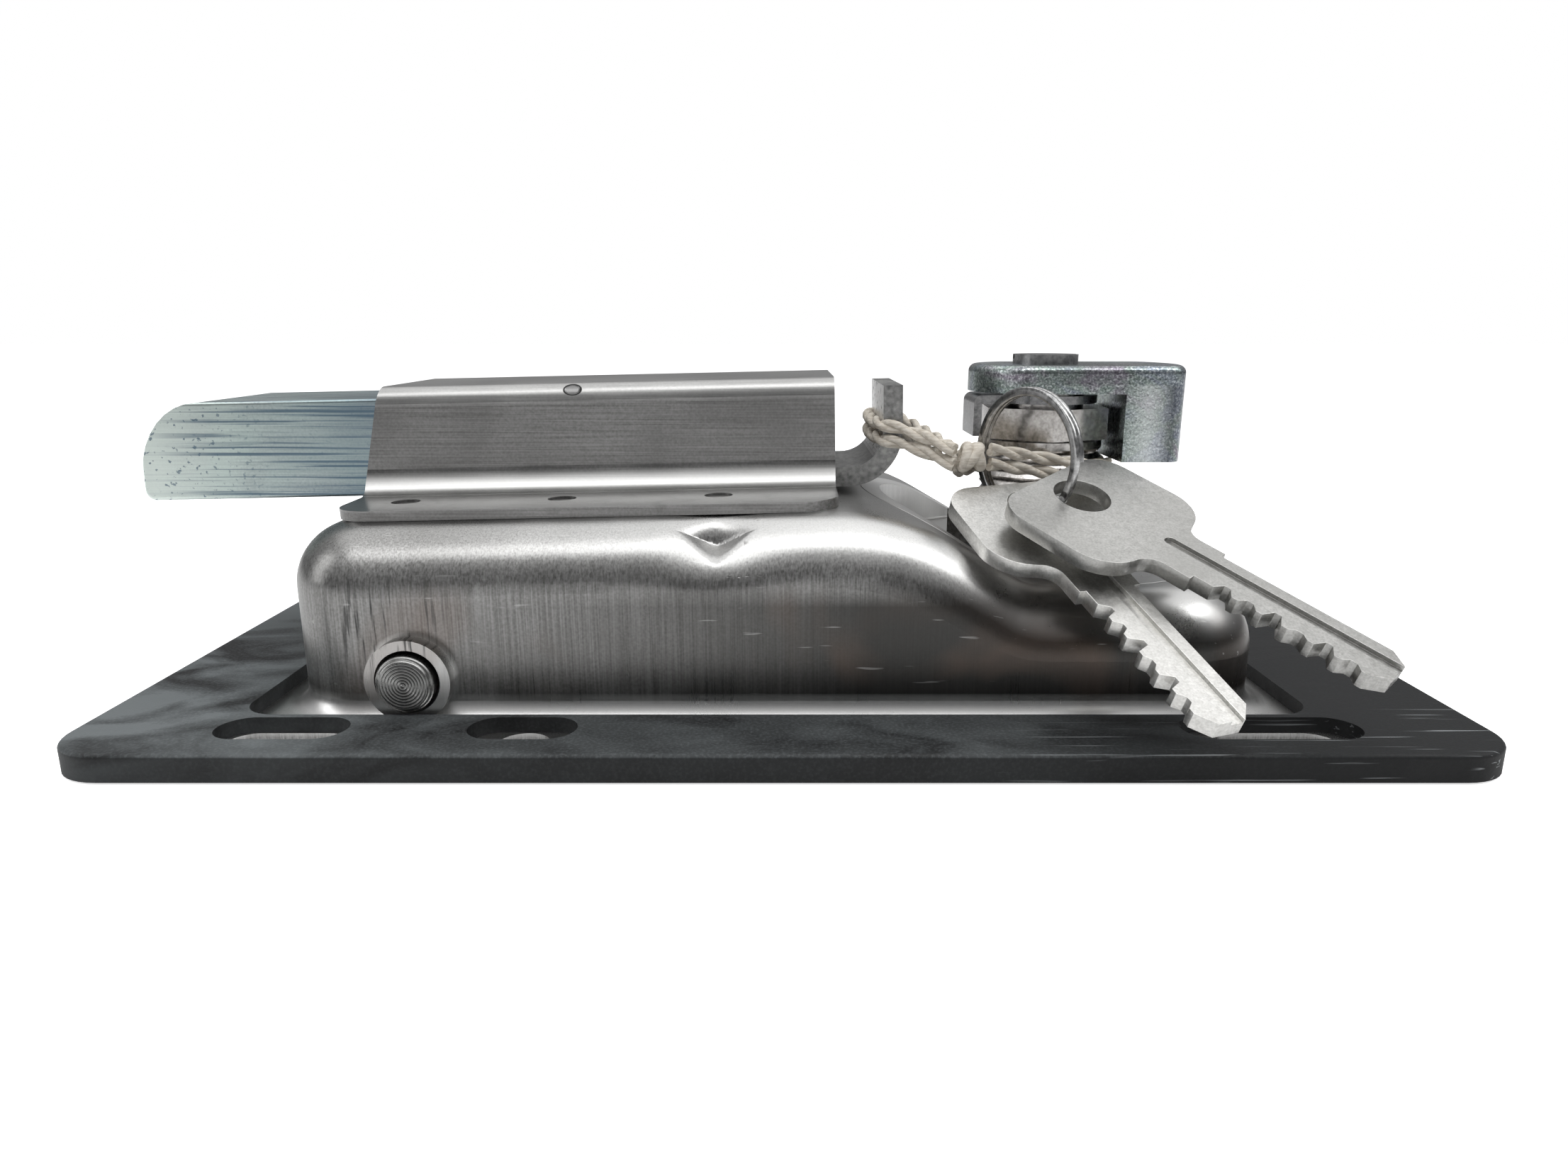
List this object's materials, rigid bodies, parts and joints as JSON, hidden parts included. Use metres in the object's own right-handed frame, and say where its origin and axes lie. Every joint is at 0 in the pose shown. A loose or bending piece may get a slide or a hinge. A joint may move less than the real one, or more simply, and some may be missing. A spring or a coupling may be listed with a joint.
{
  "type": "paddle latch",
  "caption": "Flush-mount door latch: a hinged paddle in a pressed dish draws back a spring bolt; a key lock with a turning cam beside it, keys tied on.",
  "frame": {"origin": "centre of the flange's outer face, which lies in the plane z = 0", "axes": "+Z into the panel from the flange's outer face, -X the way the bolt projects, +Y across the flange"},
  "size_m": [0.1934, 0.1162, 0.0507],
  "materials": {
    "stainless": "satin",
    "gasket": "matte",
    "zinc_bolt": "satin",
    "zinc_steel": "satin",
    "spring_steel": "satin",
    "pin_steel": "satin",
    "dark_chrome": "polished",
    "brass": "satin",
    "cast_zinc": "satin",
    "key_nickel": "satin",
    "ring_steel": "polished",
    "twine": "matte"
  },
  "bodies": {
    "frame": {"dish": "stainless", "gasket": "gasket", "bolt_channel": "stainless", "pivot_pin": "pin_steel", "lock_body": "dark_chrome", "lock_washer": "zinc_steel", "lock_nut": "dark_chrome", "bolt_spring": "spring_steel", "twine_lock_upper": "twine", "twine_lock_lower": "twine", "twine_tab_upper": "twine", "twine_tab_lower": "twine", "twine_knot": "twine"},
    "bolt": {"slam_bolt": "zinc_bolt", "bolt_tail": "zinc_steel", "tail_rivet_near": "zinc_steel", "tail_rivet_far": "zinc_steel"},
    "paddle": {"paddle": "stainless", "lever_arm": "zinc_steel"},
    "cam": {"lock_plug": "dark_chrome", "plug_wafers": "brass", "cam_hexagon": "dark_chrome", "cam_tab_washer": "spring_steel", "cam": "cast_zinc", "cam_screw": "zinc_steel"},
    "keys": {"key_ring": "ring_steel", "key_upper": "key_nickel", "key_lower": "key_nickel"}
  },
  "joints": [
    {"name": "paddle_hinge", "type": "hinge", "parent": "frame", "child": "paddle", "pos_m": [-0.0512, 0, 0.008], "axis": [0, 1, 0], "range_deg": [0, 25]},
    {"name": "bolt_slide", "type": "slide", "parent": "frame", "child": "bolt", "axis": [0.9998, 0, 0.0218], "range_m": [0, 0.0098], "stiffness_N_per_m": 600, "springref_m": -0.005, "deforming": ["bolt_spring", "twine_tab_upper", "twine_tab_lower", "twine_knot"]},
    {"name": "cam_turn", "type": "hinge", "parent": "frame", "child": "cam", "pos_m": [0.043, 0, 0], "axis": [0, 0, 1], "range_deg": [0, 90]},
    {"name": "keys_lift", "type": "slide", "parent": "frame", "child": "keys", "axis": [0, -0.8, 0.6], "range_m": [0, 0.05], "deforming": ["twine_lock_upper", "twine_lock_lower"]}
  ],
  "couplings": [
    {"joint": "paddle_hinge", "follows": "bolt_slide", "rad_per_m": 44.5}
  ]
}
